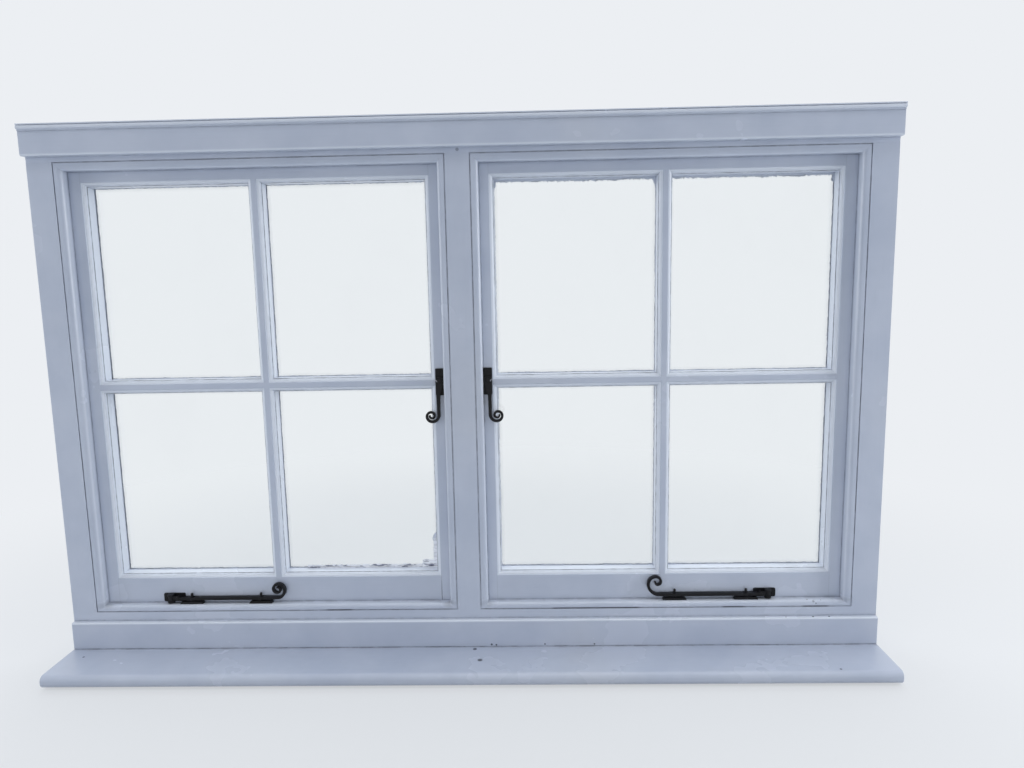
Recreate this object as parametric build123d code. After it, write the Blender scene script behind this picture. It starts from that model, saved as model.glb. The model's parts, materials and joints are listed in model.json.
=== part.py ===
from build123d import *
import math
import os

# A two-light casement window: a rebated timber frame with a mullion, two casements of four
# panes each, opening outwards, and their wrought hinges, stays and fasteners.
# Sizes are in millimetres: +X to the right seen from the room, +Y outwards, +Z up. The origin
# is the middle of the sill's underside, in the plane of the frame's inner face.
# Everything that comes in pairs is made on the right and mirrored to the left.

# Frame
FRAME_W = 1650.0          # over both jambs
FRAME_H = 1060.0          # sill's underside to the top of the head
JAMB_W = 65.5             # outer edge to the lip's edge
HEAD_W = 65.6
MULLION_W = 78.0          # lip's edge to lip's edge
LIP_D = 20.0              # depth of the lip that a casement closes against
LIP_OVER = 12.0           # how far the lip covers the casement
MOULD_W = 14.6            # moulded margin of jambs, head and mullion
SILL_MOULD_W = 11.3
ROUND_SHARE = 0.55        # part of the margin that is rounded over
ROUND_D = 7.5
QUIRK_W = 2.0             # sunk line around each light
QUIRK_D = 2.0
THROAT_R = 2.5            # groove in the rebate that stops creeping water
THROAT_Y = 34.0

# Sill
SILL_LIP_H = 116.3        # underside to the top of the lip
SILL_SEAT_D = 80.0        # what stands on the wall
SILL_NOSE_Y = 125.0
SILL_NOSE_T = 40.0
SILL_NOSE_R = 6.0
SILL_FALL = 0.12          # weathering, per millimetre outwards
DRIP_R = 4.0
DRIP_IN = 18.0            # from the nose to the drip groove

# Linings on the room side
BOARD_T = 25.0
BOARD_UNDER = 3.0         # above the sill's underside
BOARD_D = 119.0
BOARD_NOSE_R = 11.0
TONGUE_T = 9.0
TONGUE_D = 9.5
TONGUE_SLACK = 0.3
UPSTAND_TOP = 85.0
UPSTAND_T = 10.0
UPSTAND_R = 3.0
FASCIA_LAP = 40.0         # fascia's foot below the head's top
FASCIA_H = 45.0
FASCIA_T = 15.0
FASCIA_R = 3.0
CAP_H = 13.0              # moulding along the fascia's top
CAP_OUT = 5.0
CAP_R = 4.0
CAP_FILLET = 2.0
BEAD_PROUD = 1.0          # bead's root beyond the fascia

# Casements
CASEMENT_T = 45.0
FACE_GAP = 0.5            # casement to lip, closed
HINGE_GAP = 2.0
LOCK_GAP = 2.5
TOP_GAP = 2.5
SILL_GAP = 3.0
HINGE_STILE_W = 42.0
LOCK_STILE_W = 37.0
TOP_RAIL_W = 38.0
BOTTOM_RAIL_W = 69.0
BAR_W = 27.0              # glazing bar, sight line to sight line
CASEMENT_MOULD_W = 9.0    # moulded margin beside the glass
ARRIS_R = 1.2
STEP_D = 2.2              # sunk fillet before the ovolo
OVOLO_W = 5.2
OVOLO_D = 6.4
SIDE_STEP = 1.4           # fillet after the ovolo
GLASS_Y = 30.0            # casement's inner face to the glass
GLASS_T = 4.0
GLASS_LAP = 8.0           # glazing rebate's width
GLASS_SLACK = 1.0
PUTTY_MARGIN = 1.0        # rebate left bare outside the putty

# Butt hinges
HINGE_H = 75.0
HINGE_FROM_END = 150.0
BARREL_R = 4.5
BARREL_OUT = 5.5          # pin's axis beyond the outer face
KNUCKLES = 5
KNUCKLE_SLACK = 0.15
LEAF_T = 1.8
LEAF_LET_IN = 1.0
LEAF_D = 28.0             # width on the wood
LEAF_SLACK = 0.1
LEAF_SCREWS_IN = (9.8, 20.2)   # outer and inner row, from the casement's outer face
HINGE_PIN_R = 2.4
PIN_HEAD_R = 3.4
PIN_HEAD_T = 1.8
RUNNING = 0.05            # radial clearance of what turns
SEAT = 0.2                # clearance of what is let in or stands beside a moving piece

# Screws
SCREW_R = 1.6
SCREW_HEAD_R = 3.0
SCREW_HEAD_D = 1.4
SCREW_L = 11.0
SCREW_SLACK = 0.05
SCREW_POINT = 2.5

# Casement stays
STAY_Y = 12.8             # line of the pins, from the frame's inner face
SWIVEL_IN = {"left": 145.5, "right": 158.5}      # from the hinge stile's edge
STAY_CURL_R = {"left": 18.0, "right": 26.0}
STAY_CURL_RATIO = {"left": 0.79, "right": 0.66}  # radius kept over each quarter turn
STAY_CURL_DEG = {"left": 540, "right": 440}
PIN_SPACING = 145.0
PIVOT_FROM_PIN = 45.0
RIVET_FROM_PIVOT = 16.0
CURL_FROM_PIN = 36.0
PAD_L = 48.0
PAD_W = 9.8
PAD_T = 5.0
PAD_SLOPE = 3.0           # end bevels
PAD_SHOULDER = 1.7        # where they start
PAD_SCREW_IN = 8.0        # from either end
PEG_R = 2.6
PEG_H = 22.5              # lip to the peg's tip
PEG_ROUND = 2.1
PEG_HOLE_R = 3.2
NEAR_HOLE_EXTRA = 2.4     # the near hole is long, so that the arm can tilt off its peg
PEG_EYE_R = 5.8
ARM_W = 9.0
ARM_T = 6.0
ARM_END_W = 6.8
ARM_OVER_PAD = 3.2
ARM_TAPER = 26.0
CURL_BAR = 6.0
CURL_TIP = 4.0
TONGUE_W = 4.0            # knuckle's tongue between the arm's cheeks
EYE_R = 5.0               # round ends at the rivet
RIVET_R = 2.2
RIVET_HEAD_R = 3.6
RIVET_HEAD_T = 1.4
RIVET_ROUND = 1.1
SWIVEL_R = 2.8
SWIVEL_BODY_R = 4.9
LUG_T = 4.0
LUG_R = 6.4
BRACKET_T = 2.6
BRACKET_L = 45.0
BRACKET_OVERHANG = 17.0   # plate beyond the swivel
BRACKET_CORNER_R = 3.0
BRACKET_SCREW_IN = 6.5    # from either end
KNUCKLE_H = 9.6

# Casement fasteners
FASTENER_X = 48.0         # pivot, from the mullion's middle
FASTENER_OVER_BAR = 3.9   # pivot above the cross bar's middle
PLATE_W = 17.0
PLATE_UP = 25.0           # above and below the pivot
PLATE_DOWN = 29.0
PLATE_T = 2.4
PLATE_CORNER_R = 2.0
PLATE_SCREW_IN = 6.5      # from either end
HANDLE_T = 5.2
BOSS_R = 8.2
PIVOT_R = 2.6
PIVOT_HEAD_R = 4.6
PIVOT_HEAD_T = 1.8
PIVOT_ROUND = 1.4
NOSE_L = 15.0             # pivot to the nose's tip
NOSE_H = 9.0
TAIL_W = 7.2
TAIL_SHIFT = 3.4          # tail's middle line beyond the pivot
TAIL_L = 70.0             # pivot down to the scroll's centre
TAIL_WIDE_L = 31.0        # pivot down to where the tail turns straight
HANDLE_CURL_R = 14.5
HANDLE_CURL_RATIO = 0.80
HANDLE_CURL_DEG = 540
HANDLE_BAR = 6.0
HANDLE_TIP = 3.8
KEEP_T = 1.5
KEEP_W = 10.0
KEEP_UP = 26.0
KEEP_DOWN = 50.0
KEEP_IN = 0.5             # from the lip's back edge
KEEP_SCREW_IN = 6.0       # from either end
KEEP_SCREW_L = 7.7
SLOT_SLACK = 0.5

SPAN = 3000.0             # longer than any member
PROUD = 1.0               # how far a cut starts or ends outside what it cuts
CURL_STEPS = 14

# Lines and planes that several pieces share, worked out from the sizes above
half_w = FRAME_W / 2
fascia_low = FRAME_H - FASCIA_LAP
face_y = LIP_D + FACE_GAP                  # casement's inner face
frame_d = face_y + CASEMENT_T
jamb_lip = half_w - JAMB_W
jamb_quirk = jamb_lip + MOULD_W
jamb_rebate = jamb_lip + LIP_OVER
mullion_lip = MULLION_W / 2
mullion_quirk = mullion_lip - MOULD_W
mullion_rebate = mullion_lip - LIP_OVER
head_lip = FRAME_H - HEAD_W
head_quirk = head_lip + MOULD_W
sill_quirk = SILL_LIP_H - SILL_MOULD_W
sill_rebate = SILL_LIP_H - LIP_OVER

hinge_edge = jamb_rebate - HINGE_GAP
lock_edge = mullion_rebate + LOCK_GAP
top_edge = head_lip + LIP_OVER - TOP_GAP
bottom_edge = sill_rebate + SILL_GAP
hinge_sight = hinge_edge - HINGE_STILE_W
lock_sight = lock_edge + LOCK_STILE_W
top_sight = top_edge - TOP_RAIL_W
bottom_sight = bottom_edge + BOTTOM_RAIL_W
hinge_flat = hinge_sight + CASEMENT_MOULD_W
lock_flat = lock_sight - CASEMENT_MOULD_W
top_flat = top_sight + CASEMENT_MOULD_W
bottom_flat = bottom_sight - CASEMENT_MOULD_W
bar_x = (hinge_sight + lock_sight) / 2
bar_z = (top_sight + bottom_sight) / 2
half_bar = BAR_W / 2
nose = half_bar - CASEMENT_MOULD_W         # flat of a bar, either side of its middle
tongue = half_bar - GLASS_LAP

pad_top = SILL_LIP_H + PAD_T
arm_low = pad_top + ARM_OVER_PAD
arm_mid = arm_low + ARM_T / 2
fastener_z = bar_z + FASTENER_OVER_BAR
keep_y = LIP_D - KEEP_IN - KEEP_W / 2
plate_front = face_y - PLATE_T             # room side of the fastener's plate
handle_back = plate_front - SEAT
handle_front = handle_back - HANDLE_T
hinge_x = (hinge_edge + jamb_rebate) / 2
hinge_y = frame_d + BARREL_OUT
hinge_feet = (bottom_edge + HINGE_FROM_END - HINGE_H / 2, top_edge - HINGE_FROM_END - HINGE_H / 2)


def prism(*outline):
    """All that lies before and behind an outline on the wall plane, given as (x, z) corners."""
    return extrude(Plane.XZ * make_face(Polyline(*outline, close=True)), amount=SPAN, both=True)


def upright_slab(face, low_y, high_y):
    """A plate parallel to the wall, from a face drawn in (x, z)."""
    return extrude(Plane.XZ.offset(-high_y) * face, amount=high_y - low_y)


def flat_slab(face, low_z, high_z):
    """A level plate, from a face drawn in (x, y)."""
    return extrude(Plane.XY.offset(low_z) * face, amount=high_z - low_z)


def block(low, high):
    """A box between two opposite corners."""
    size = [b - a for a, b in zip(low, high)]
    return Pos(*low) * Box(*size, align=(Align.MIN, Align.MIN, Align.MIN))


def bar(profile, corner, inward):
    """An endless bar: its profile's first axis runs inward from the corner, its second outwards."""
    along = Vector(*inward).cross(Vector(0, 1, 0))
    return extrude(Plane(corner, inward, along) * profile, amount=SPAN, both=True)


def on_side(side, shape):
    """A piece made on the right, put on its own side."""
    return shape if side == "right" else mirror(shape, about=Plane.YZ)


def eased(face, corners, radius):
    """The face with the corners nearest to some points rounded."""
    picked = [face.vertices().sort_by_distance(Vector(*corner))[0] for corner in corners]
    return fillet(picked, radius)


def rod(start, direction, radius, length):
    """A round bar from a point along a direction."""
    return extrude(Plane(start, z_dir=direction) * Circle(radius), amount=length)


def lip_profile(width, mould):
    """Frame member from its back to the lip's edge, with the margin rounded over."""
    flat = width - mould * ROUND_SHARE
    rebate = width - LIP_OVER
    near = THROAT_Y - THROAT_R
    far = THROAT_Y + THROAT_R
    line = Polyline((0, frame_d), (0, 0), (flat, 0))
    line += EllipticalCenterArc((flat, ROUND_D), width - flat, ROUND_D, start_angle=-90, arc_size=90)
    line += Polyline((width, ROUND_D), (width, LIP_D), (rebate, LIP_D), (rebate, near))
    line += ThreePointArc((rebate, near), (rebate - THROAT_R, THROAT_Y), (rebate, far))
    line += Polyline((rebate, far), (rebate, frame_d), (0, frame_d))
    return make_face(line)


def casement_profile(width):
    """Casement member from its edge, or a bar's middle, to the sight line."""
    arris = width - CASEMENT_MOULD_W
    ovolo = width - SIDE_STEP - OVOLO_W
    deep = STEP_D + OVOLO_D
    lap = width - GLASS_LAP
    line = Polyline((0, CASEMENT_T), (0, 0), (arris, 0))
    line += CenterArc((arris, ARRIS_R), ARRIS_R, -90, 90)
    line += Polyline((arris + ARRIS_R, ARRIS_R), (arris + ARRIS_R, STEP_D), (ovolo, STEP_D))
    line += EllipticalCenterArc((ovolo, deep), OVOLO_W, OVOLO_D, start_angle=-90, arc_size=90)
    line += Polyline((ovolo + OVOLO_W, deep), (width, deep), (width, GLASS_Y), (lap, GLASS_Y),
                     (lap, CASEMENT_T), (0, CASEMENT_T))
    return make_face(line)


def sill_profile():
    """Section of the sill as (y, z): seat, board groove, moulded lip, rebate, weathering, nose."""
    flat = SILL_LIP_H - SILL_MOULD_W * ROUND_SHARE
    groove_low = BOARD_UNDER + (BOARD_T - TONGUE_T) / 2 - TONGUE_SLACK
    groove_top = groove_low + TONGUE_T + 2 * TONGUE_SLACK
    groove_d = TONGUE_D + TONGUE_SLACK
    nose_top = sill_rebate - (SILL_NOSE_Y - LIP_D) * SILL_FALL
    nose_low = nose_top - SILL_NOSE_T
    drip_y = SILL_NOSE_Y - DRIP_IN
    drip_near = drip_y - DRIP_R
    drip_far = drip_y + DRIP_R
    line = Polyline((0, 0), (0, groove_low), (groove_d, groove_low), (groove_d, groove_top),
                    (0, groove_top), (0, flat))
    line += EllipticalCenterArc((ROUND_D, flat), ROUND_D, SILL_LIP_H - flat, start_angle=90, arc_size=90)
    line += Polyline((ROUND_D, SILL_LIP_H), (LIP_D, SILL_LIP_H), (LIP_D, sill_rebate),
                     (SILL_NOSE_Y, nose_top), (SILL_NOSE_Y, nose_low), (drip_far, nose_low))
    line += ThreePointArc((drip_far, nose_low), (drip_y, nose_low + DRIP_R), (drip_near, nose_low))
    line += Polyline((drip_near, nose_low), (SILL_SEAT_D, nose_low), (SILL_SEAT_D, 0), (0, 0))
    return eased(make_face(line), [(SILL_NOSE_Y, nose_top), (SILL_NOSE_Y, nose_low)], SILL_NOSE_R)


def quirk(left, right, low, top):
    """The sunk line around one light, as a ring to cut."""
    half = QUIRK_W / 2
    outer = block((left - half, -QUIRK_D, low - half), (right + half, QUIRK_D, top + half))
    inner = block((left + half, -2 * QUIRK_D, low + half), (right - half, 2 * QUIRK_D, top - half))
    return outer - inner


def both_quirks(piece):
    """The piece with the sunk lines of both lights cut into it."""
    ring = quirk(mullion_quirk, jamb_quirk, sill_quirk, head_quirk)
    return piece - ring - mirror(ring, about=Plane.YZ)


def frame_sill():
    """Sill with mitred lips and a level stool under each post."""
    outline = [(half_w, 0), (half_w, sill_quirk), (jamb_quirk, sill_quirk), (jamb_lip, SILL_LIP_H),
               (mullion_lip, SILL_LIP_H), (mullion_quirk, sill_quirk)]
    mirrored = [(-x, z) for x, z in reversed(outline)]
    length = extrude(Plane.YZ * sill_profile(), amount=SPAN, both=True)
    sill = length & prism(*outline, *mirrored)
    stool_low = sill_rebate - (frame_d - LIP_D) * SILL_FALL - PROUD
    sill += block((jamb_rebate, LIP_D, stool_low), (half_w, frame_d, sill_quirk))
    sill += block((-half_w, LIP_D, stool_low), (-jamb_rebate, frame_d, sill_quirk))
    sill += block((-mullion_rebate, LIP_D, stool_low), (mullion_rebate, frame_d, sill_quirk))
    return both_quirks(sill)


def frame_head():
    """Head over the full width, with its lips mitred to the posts."""
    outline = [(half_w, FRAME_H), (half_w, head_quirk), (jamb_quirk, head_quirk), (jamb_lip, head_lip),
               (mullion_lip, head_lip), (mullion_quirk, head_quirk)]
    mirrored = [(-x, z) for x, z in reversed(outline)]
    length = bar(lip_profile(HEAD_W, MOULD_W), (0, 0, FRAME_H), (0, 0, -1))
    return both_quirks(length & prism(*outline, *mirrored))


def frame_jamb(sill, head):
    """Right jamb, scribed to the sill and the head."""
    zone = prism((half_w, sill_quirk), (half_w, head_quirk),
                 (jamb_lip, head_quirk), (jamb_lip, sill_quirk))
    length = bar(lip_profile(JAMB_W, MOULD_W), (half_w, 0, 0), (-1, 0, 0))
    return both_quirks(length & zone) - sill - head


def frame_mullion(sill, head):
    """Mullion, the same margin on both sides."""
    zone = prism((0, sill_quirk), (0, head_quirk),
                 (mullion_lip, head_quirk), (mullion_lip, sill_quirk))
    half = bar(lip_profile(mullion_lip, MOULD_W), (0, 0, 0), (1, 0, 0)) & zone
    return both_quirks(half + mirror(half, about=Plane.YZ)) - sill - head


def window_board():
    """Board with a rounded nosing and a tongue in the sill."""
    low = BOARD_UNDER
    top = low + BOARD_T
    tongue_low = low + (BOARD_T - TONGUE_T) / 2
    tongue_top = tongue_low + TONGUE_T
    face = make_face(Polyline((-BOARD_D, low), (0, low), (0, tongue_low), (TONGUE_D, tongue_low),
                              (TONGUE_D, tongue_top), (0, tongue_top), (0, top), (-BOARD_D, top),
                              close=True))
    face = eased(face, [(-BOARD_D, low), (-BOARD_D, top)], BOARD_NOSE_R)
    return extrude(Plane.YZ * face, amount=half_w, both=True)


def sill_upstand():
    """Cover fillet that closes the joint of board and sill."""
    low = BOARD_UNDER + BOARD_T
    face = make_face(Polyline((0, low), (0, UPSTAND_TOP), (-UPSTAND_T, UPSTAND_TOP), (-UPSTAND_T, low),
                              close=True))
    face = eased(face, [(-UPSTAND_T, UPSTAND_TOP)], UPSTAND_R)
    return extrude(Plane.YZ * face, amount=half_w, both=True)


def head_fascia():
    """Flat fascia over the head's face, with a bead and a fillet along its top."""
    foot = fascia_low + FASCIA_H
    top = foot + CAP_H
    out = -FASCIA_T
    root = out - BEAD_PROUD
    bead = top - CAP_FILLET - CAP_R
    line = Polyline((0, fascia_low), (out, fascia_low), (out, foot), (root, foot), (root, bead - CAP_R))
    line += ThreePointArc((root, bead - CAP_R), (root - CAP_R, bead), (root, bead + CAP_R))
    line += Polyline((root, bead + CAP_R), (out - CAP_OUT, bead + CAP_R), (out - CAP_OUT, top),
                     (0, top), (0, fascia_low))
    face = eased(make_face(line), [(out, fascia_low)], FASCIA_R)
    return extrude(Plane.YZ * face, amount=half_w, both=True)


def inset(x, z, right, up):
    """The corner on the sight line that a mitre from a flat's corner runs to."""
    return x + right * CASEMENT_MOULD_W, z + up * CASEMENT_MOULD_W


def upright_bar_zone():
    """Where the upright glazing bar is: mitred to both rails and, at the middle, to the cross bar."""
    edge = bar_x + nose
    right_side = [(edge, bottom_flat), inset(edge, bottom_flat, 1, 1),
                  inset(edge, bar_z - nose, 1, -1), (edge, bar_z - nose)]
    right_side += [(x, 2 * bar_z - z) for x, z in reversed(right_side)]
    left_side = [(2 * bar_x - x, z) for x, z in reversed(right_side)]
    return prism(*right_side, *left_side)


def cross_bar_zone(stile_flat, toward):
    """Where one arm of the cross bar is, between a stile and the upright bar."""
    edge = bar_z + nose
    root = bar_x - toward * nose
    upper = [(stile_flat, edge), inset(stile_flat, edge, toward, 1), inset(root, edge, -toward, 1),
             (root, edge)]
    lower = [(x, 2 * bar_z - z) for x, z in reversed(upper)]
    return prism(*upper, *lower)


def rail(width, edge, up, flat):
    """Top or bottom rail between the stiles' flats, with its moulding mitred to theirs."""
    zone = prism((hinge_flat, edge), (lock_flat, edge), (lock_flat, flat), inset(lock_flat, flat, 1, up),
                 inset(hinge_flat, flat, -1, up), (hinge_flat, flat))
    length = bar(casement_profile(width), (0, face_y, edge), (0, 0, up))
    return (length & zone) - upright_bar_zone()


def casement_wood():
    """The right casement's members: stiles, rails and halved glazing bars."""
    outer_zone = cross_bar_zone(hinge_flat, -1)
    inner_zone = cross_bar_zone(lock_flat, 1)
    half = casement_profile(half_bar)
    upright = bar(half, (bar_x, face_y, 0), (1, 0, 0)) + bar(half, (bar_x, face_y, 0), (-1, 0, 0))
    cross = bar(half, (0, face_y, bar_z), (0, 0, 1)) + bar(half, (0, face_y, bar_z), (0, 0, -1))
    halving = block((bar_x - tongue, face_y + GLASS_Y, bar_z - tongue),
                    (bar_x + tongue, face_y + CASEMENT_T, bar_z + tongue))
    upright_bar = (upright & upright_bar_zone()) - halving
    cross_bar = (cross & outer_zone) + (cross & inner_zone) + halving

    top_rail = rail(TOP_RAIL_W, top_edge, -1, top_flat)
    bottom_rail = rail(BOTTOM_RAIL_W, bottom_edge, 1, bottom_flat)
    whole = block((lock_edge, face_y, bottom_edge), (hinge_edge, frame_d, top_edge))
    hinge_stile = bar(casement_profile(HINGE_STILE_W), (hinge_edge, face_y, 0), (-1, 0, 0)) & whole
    lock_stile = bar(casement_profile(LOCK_STILE_W), (lock_edge, face_y, 0), (1, 0, 0)) & whole
    hinge_stile -= [top_rail, bottom_rail, outer_zone]
    lock_stile -= [top_rail, bottom_rail, inner_zone]
    throat = rod((-SPAN / 2, THROAT_Y, bottom_edge), (1, 0, 0), THROAT_R, SPAN)
    return {"hinge_stile": hinge_stile - throat, "lock_stile": lock_stile - throat,
            "top_rail": top_rail, "bottom_rail": bottom_rail - throat,
            "upright_bar": upright_bar, "cross_bar": cross_bar}


def openings():
    """The four sight openings, as name: (left, right, low, top)."""
    columns = {"outer": (bar_x + half_bar, hinge_sight), "inner": (lock_sight, bar_x - half_bar)}
    rows = {"upper": (bar_z + half_bar, top_sight), "lower": (bottom_sight, bar_z - half_bar)}
    return {f"{row}_{column}": (*columns[column], *rows[row]) for row in rows for column in columns}


def pane(left, right, low, top):
    """One sheet of glass in its rebate."""
    lap = GLASS_LAP - GLASS_SLACK
    inner = face_y + GLASS_Y
    return block((left - lap, inner, low - lap), (right + lap, inner + GLASS_T, top + lap))


def putty_ring(left, right, low, top):
    """Weathered putty around one pane, from the sight line out to the casement's face."""
    glass = face_y + GLASS_Y + GLASS_T
    face = frame_d - PUTTY_MARGIN
    outer = block((left - GLASS_LAP, glass, low - GLASS_LAP), (right + GLASS_LAP, face, top + GLASS_LAP))
    width = right - left
    height = top - low
    spread = 2 * (GLASS_LAP - PUTTY_MARGIN)
    middle = Pos((left + right) / 2, (low + top) / 2)
    at_glass = Plane.XZ.offset(-glass) * middle * Rectangle(width, height)
    at_face = Plane.XZ.offset(-face) * middle * Rectangle(width + spread, height + spread)
    return outer - loft([at_glass, at_face])


def screw(head, into, length=SCREW_L, slack=0.0):
    """A countersunk screw with its head's face at head, or with slack the hole for it."""
    radius = SCREW_R + slack
    head_r = SCREW_HEAD_R + slack
    tip = length + slack
    half = [(0, 0), (head_r, 0), (radius, SCREW_HEAD_D), (radius, tip - SCREW_POINT), (0, tip)]
    turned = revolve(Plane.XZ * make_face(Polyline(*half, close=True)), Axis.Z)
    return Plane(head, z_dir=into).location * turned


def screw_hole(head, into, length=SCREW_L):
    return screw(head, into, length, SCREW_SLACK)


def hinge_knuckles(of_frame):
    """(low, high) of the knuckles on one leaf, from the hinge's foot."""
    pitch = HINGE_H / KNUCKLES
    first = 0 if of_frame else 1
    return [(n * pitch + KNUCKLE_SLACK, (n + 1) * pitch - KNUCKLE_SLACK) for n in range(first, KNUCKLES, 2)]


def hinge_leaf(foot, of_frame):
    """One leaf: a plate let into the wood, with its knuckles bored for the pin."""
    wood = jamb_rebate if of_frame else hinge_edge
    side = 1 if of_frame else -1
    near = wood + side * (LEAF_LET_IN - LEAF_T)
    far = wood + side * LEAF_LET_IN
    plate = block((min(near, far), frame_d - LEAF_D, foot), (max(near, far), hinge_y, foot + HINGE_H))
    room = 2 * KNUCKLE_SLACK
    for low, high in hinge_knuckles(not of_frame):
        start = (hinge_x, hinge_y, foot + low - room)
        plate -= rod(start, (0, 0, 1), BARREL_R + room, high - low + 2 * room)
    for low, high in hinge_knuckles(of_frame):
        plate += rod((hinge_x, hinge_y, foot + low), (0, 0, 1), BARREL_R, high - low)
    bore_start = (hinge_x, hinge_y, foot - PROUD)
    return plate - rod(bore_start, (0, 0, 1), HINGE_PIN_R + RUNNING, HINGE_H + 2 * PROUD)


def hinge_pin(foot):
    """A loose pin with a button head at each end."""
    pin = rod((hinge_x, hinge_y, foot), (0, 0, 1), HINGE_PIN_R, HINGE_H)
    for low in (foot - PIN_HEAD_T, foot + HINGE_H):
        pin += rod((hinge_x, hinge_y, low), (0, 0, 1), PIN_HEAD_R, PIN_HEAD_T)
    return pin


def leaf_housing(foot, of_frame):
    """What is cut from the jamb or the stile for one leaf."""
    wood = jamb_rebate if of_frame else hinge_edge
    deep = wood + LEAF_LET_IN + LEAF_SLACK if of_frame else wood - LEAF_LET_IN - LEAF_SLACK
    return block((min(wood, deep), frame_d - LEAF_D - LEAF_SLACK, foot - LEAF_SLACK),
                 (max(wood, deep), frame_d + PROUD, foot + HINGE_H + LEAF_SLACK))


def leaf_screws(foot, of_frame):
    """Where the screws of one leaf go, as (head, into)."""
    wood = jamb_rebate if of_frame else hinge_edge
    side = 1 if of_frame else -1
    x = wood + side * (LEAF_LET_IN - LEAF_T)
    outer, inner = (frame_d - depth for depth in LEAF_SCREWS_IN)
    rows = zip((outer, inner, outer), (1, 3, 5))
    return [((x, y, foot + HINGE_H * sixth / 6), (side, 0, 0)) for y, sixth in rows]


def scroll(centre, start, turn, radius, ratio, sweep, width, tip):
    """A flat scroll that winds inwards from an angle, its bar thinning to a rounded tip."""
    def point(share, side):
        angle = math.radians(start + turn * sweep * share)
        half_bar_w = (width + (tip - width) * share) / 2
        reach = radius * ratio ** (share * sweep / 90) + side * half_bar_w
        return centre[0] + reach * math.cos(angle), centre[1] + reach * math.sin(angle)

    steps = [n / CURL_STEPS for n in range(CURL_STEPS + 1)]
    outer = [point(share, 1) for share in steps]
    inner = [point(share, -1) for share in steps]
    last_turn = math.radians(sweep) * radius * ratio ** (sweep / 90)
    line = Spline(*outer)
    line += ThreePointArc(outer[-1], point(1 + tip / 2 / last_turn, 0), inner[-1])
    line += Spline(*reversed(inner))
    line += Line(inner[0], outer[0])
    return make_face(line)


def stay_places(side):
    """Distances from the window's middle: far pin, near pin, rivet and swivel."""
    swivel = hinge_edge - SWIVEL_IN[side]
    near = swivel - PIVOT_FROM_PIN
    return near - PIN_SPACING, near, swivel - RIVET_FROM_PIVOT, swivel


def pin_plate(x):
    """Bevelled plate on the sill's lip with a peg for the stay's arm."""
    half = PAD_L / 2
    shoulder = SILL_LIP_H + PAD_SHOULDER
    side = make_face(Polyline((x - half, SILL_LIP_H), (x + half, SILL_LIP_H), (x + half, shoulder),
                              (x + half - PAD_SLOPE, pad_top), (x - half + PAD_SLOPE, pad_top),
                              (x - half, shoulder), close=True))
    plate = upright_slab(side, STAY_Y - PAD_W / 2, STAY_Y + PAD_W / 2)
    peg = rod((x, STAY_Y, pad_top), (0, 0, 1), PEG_R, PEG_H - PAD_T)
    plate += fillet(peg.edges().filter_by(GeomType.CIRCLE).sort_by(Axis.Z)[-1], PEG_ROUND)
    for place in pin_plate_screws(x):
        plate -= screw_hole(*place)
    return plate


def pin_plate_screws(x):
    reach = PAD_L / 2 - PAD_SCREW_IN
    return [((x + side * reach, STAY_Y, pad_top), (0, 0, -1)) for side in (-1, 1)]


def stay_arm(side):
    """Forked, drilled flat bar whose drawn-out end is curled into a scroll."""
    far, near, rivet, _ = stay_places(side)
    end = far - CURL_FROM_PIN
    flat = Pos((end + rivet) / 2, arm_mid) * Rectangle(rivet - end, ARM_T)
    eye = Pos(rivet, arm_mid) * Circle(EYE_R)
    radius = STAY_CURL_R[side]
    drawn_out = scroll((end, arm_mid + radius), -90, -1, radius, STAY_CURL_RATIO[side],
                       STAY_CURL_DEG[side], CURL_BAR, CURL_TIP)
    arm = upright_slab(flat + eye + drawn_out, STAY_Y - ARM_W, STAY_Y + ARM_W)

    half = ARM_W / 2
    slim = ARM_END_W / 2
    wide_to = far - PEG_EYE_R
    slim_from = wide_to - ARM_TAPER
    plan = make_face(Polyline((rivet + EYE_R, -half), (rivet + EYE_R, half), (wide_to, half),
                              (slim_from, slim), (0, slim), (0, -slim), (slim_from, -slim),
                              (wide_to, -half), close=True))
    near_middle = Pos(near - NEAR_HOLE_EXTRA / 2, 0)
    plan += Pos(far, 0) * Circle(PEG_EYE_R)
    plan += near_middle * SlotCenterToCenter(NEAR_HOLE_EXTRA, 2 * PEG_EYE_R)
    plan -= Pos(far, 0) * Circle(PEG_HOLE_R)
    plan -= near_middle * SlotCenterToCenter(NEAR_HOLE_EXTRA, 2 * PEG_HOLE_R)
    arm = arm & flat_slab(Pos(0, STAY_Y) * plan, 0, FRAME_H)
    slot = TONGUE_W / 2 + SEAT
    arm -= block((rivet - EYE_R - PROUD, STAY_Y - slot, 0), (rivet + 2 * EYE_R, STAY_Y + slot, FRAME_H))
    return arm - rod((rivet, 0, arm_mid), (0, 1, 0), RIVET_R + RUNNING, 2 * STAY_Y)


def stay_rivet(side):
    """Rivet through the fork, headed at the room side."""
    _, _, rivet, _ = stay_places(side)
    front = STAY_Y - ARM_W / 2
    shank = rod((rivet, front, arm_mid), (0, 1, 0), RIVET_R, ARM_W)
    head = rod((rivet, front, arm_mid), (0, -1, 0), RIVET_HEAD_R, RIVET_HEAD_T)
    dome = head.edges().filter_by(GeomType.CIRCLE).sort_by(Axis.Y)[0]
    return shank + fillet(dome, RIVET_ROUND)


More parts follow.
